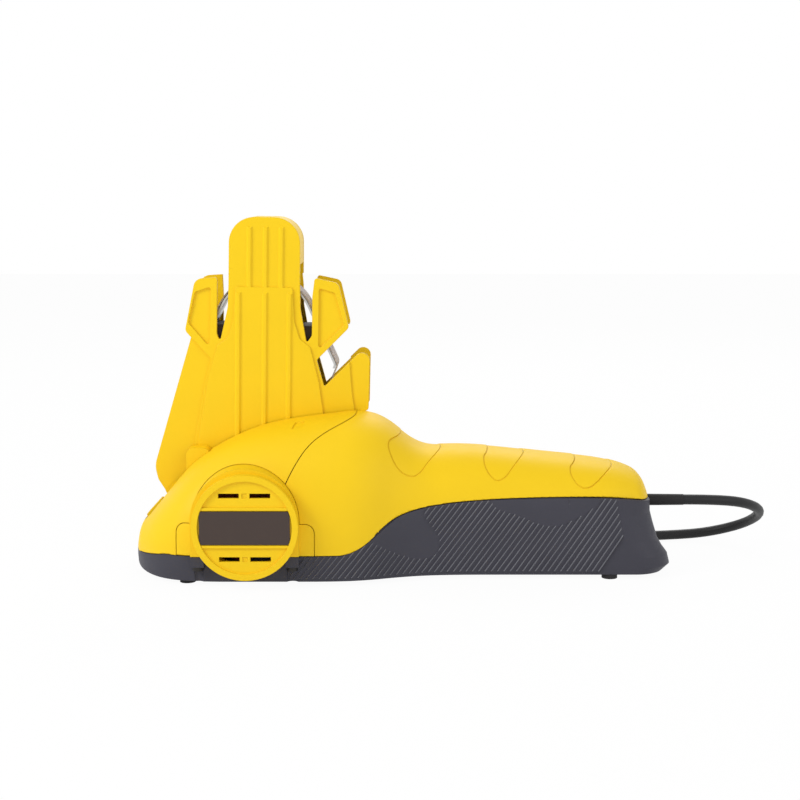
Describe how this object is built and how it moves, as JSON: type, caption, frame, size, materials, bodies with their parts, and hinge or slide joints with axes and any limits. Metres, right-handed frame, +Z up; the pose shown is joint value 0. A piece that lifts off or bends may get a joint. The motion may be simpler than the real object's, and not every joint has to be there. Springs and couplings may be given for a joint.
{
  "type": "electric knife sharpener",
  "caption": "Corded bench knife and scissor sharpener: yellow and grey body, belt over a slotted guide, finger-grip handle",
  "frame": {"origin": "middle of the footprint on the table: +X towards the cord end, +Y away from the motor cap", "axes": "+X along the handle to the cord, +Y to the back, +Z up"},
  "size_m": [0.3654, 0.2176, 0.1991],
  "materials": {
    "yellow_housing": "fine-grained moulded, satin",
    "grey_housing": "moulded, ribbed grip texture",
    "plate_grey": "smooth satin plate, bare",
    "black_plastic": "moulded black",
    "black_rubber": "dull flexible sheath",
    "abrasive": "grey abrasive grain on cloth",
    "spring_steel": "ground bright steel",
    "zinc_steel": "zinc plated",
    "dark_screws": "blackened",
    "machined_aluminium": "turned",
    "ferrite": "sintered, matt",
    "copper": "enamelled copper",
    "bronze": "sintered bronze and plain brass",
    "board_green": "lacquered laminate"
  },
  "bodies": {
    "machine": {"base_shell": "grey_housing", "front_cover": "yellow_housing", "rear_cover": "yellow_housing", "motor_cover": "yellow_housing", "motor_end_cap": "yellow_housing", "cap_badge": "plate_grey", "motor_can": "zinc_steel", "motor_magnets": "ferrite", "motor_end_bell": "black_plastic", "carbon_brushes": "ferrite", "shaft_bushes": "bronze", "motor_screws": "zinc_steel", "abrasive_belt": "abrasive", "platen": "spring_steel", "belt_frame": "black_plastic", "lock_pin": "spring_steel", "lock_spring": "spring_steel", "tension_spring": "spring_steel", "switch_body": "black_plastic", "circuit_board": "board_green", "bridge_rectifier": "black_plastic", "suppression_capacitor": "black_plastic", "rubber_feet": "black_rubber", "housing_screws": "dark_screws", "cover_screws": "dark_screws", "strain_relief": "black_rubber", "cord_tube": "black_rubber", "cord_coil": "black_rubber", "cord_tail": "black_rubber", "plug_body": "black_plastic", "plug_blades": "bronze"},
    "rotor": {"motor_shaft": "spring_steel", "armature_core": "zinc_steel", "armature_winding": "copper", "commutator": "copper", "cooling_fan": "black_plastic", "drive_pulley": "machined_aluminium"},
    "tensioner": {"tension_arm": "zinc_steel"},
    "roller": {"tension_roller": "zinc_steel"},
    "guide": {"guide_front": "yellow_housing", "guide_back": "yellow_housing", "guide_screws": "zinc_steel"},
    "lock": {"guide_lock": "yellow_housing"},
    "switch": {"power_rocker": "black_plastic"}
  },
  "joints": [
    {"name": "rotor_spin", "type": "hinge", "parent": "machine", "child": "rotor", "pos_m": [-0.0847, 0, 0.0347], "axis": [0, 1, 0], "continuous": true},
    {"name": "tension_arm_swing", "type": "hinge", "parent": "machine", "child": "tensioner", "pos_m": [-0.08172, 0.02, 0.08073], "axis": [0, -1, 0], "range_deg": [0, 14], "stiffness_Nm_per_rad": 0.05},
    {"name": "tension_roller_spin", "type": "hinge", "parent": "tensioner", "child": "roller", "pos_m": [-0.09794, 0.03, 0.05976], "axis": [0, 1, 0], "continuous": true},
    {"name": "guide_lift", "type": "slide", "parent": "machine", "child": "guide", "axis": [0.0192, 0, 0.9998], "range_m": [0, 0.05]},
    {"name": "guide_lock_swing", "type": "hinge", "parent": "machine", "child": "lock", "pos_m": [-0.1158, 0, 0.048], "axis": [0, 1, 0], "range_deg": [-9, 0], "stiffness_Nm_per_rad": 0.2},
    {"name": "power_rocker_tilt", "type": "hinge", "parent": "machine", "child": "switch", "pos_m": [-0.13837, 0.003, 0.03239], "axis": [0, 1, 0], "range_deg": [-7, 7]}
  ]
}
